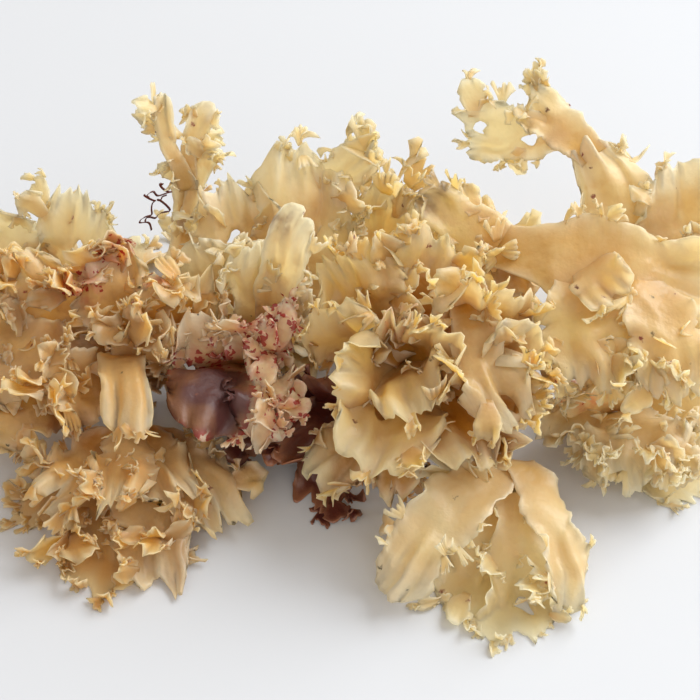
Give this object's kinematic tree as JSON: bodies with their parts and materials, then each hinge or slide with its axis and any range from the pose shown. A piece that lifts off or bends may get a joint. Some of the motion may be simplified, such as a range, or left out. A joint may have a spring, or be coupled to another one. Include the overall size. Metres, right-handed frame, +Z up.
{
  "type": "tangle of dried irish moss seaweed",
  "caption": "Loose tangle of dried, bleached Irish moss: thin ruffled fronds with notched lobes, small proliferations and a maroon underlayer, lying on a flat surface.",
  "frame": {"origin": "on the surface that the tangle lies on, under the middle of its bounding box", "axes": "+X along the tangle's length, +Y away from the viewer, +Z up"},
  "size_m": [0.174, 0.1138, 0.0491],
  "materials": {
    "left_tuft": "satin",
    "left_back_frond": "satin",
    "lower_left_frond": "satin",
    "upright_frond": "satin",
    "back_frond": "satin",
    "stained_frond": "satin",
    "centre_frond": "satin",
    "arching_frond": "satin",
    "right_tuft": "satin",
    "back_right_frond": "satin",
    "front_frond": "satin",
    "maroon_frond": "satin",
    "rear_frond": "satin"
  },
  "bodies": {
    "root": {"left_tuft": "left_tuft", "left_back_frond": "left_back_frond", "lower_left_frond": "lower_left_frond", "upright_frond": "upright_frond", "back_frond": "back_frond", "stained_frond": "stained_frond", "centre_frond": "centre_frond", "arching_frond": "arching_frond", "right_tuft": "right_tuft", "back_right_frond": "back_right_frond", "front_frond": "front_frond", "maroon_frond": "maroon_frond", "rear_frond": "rear_frond"}
  },
  "joints": []
}
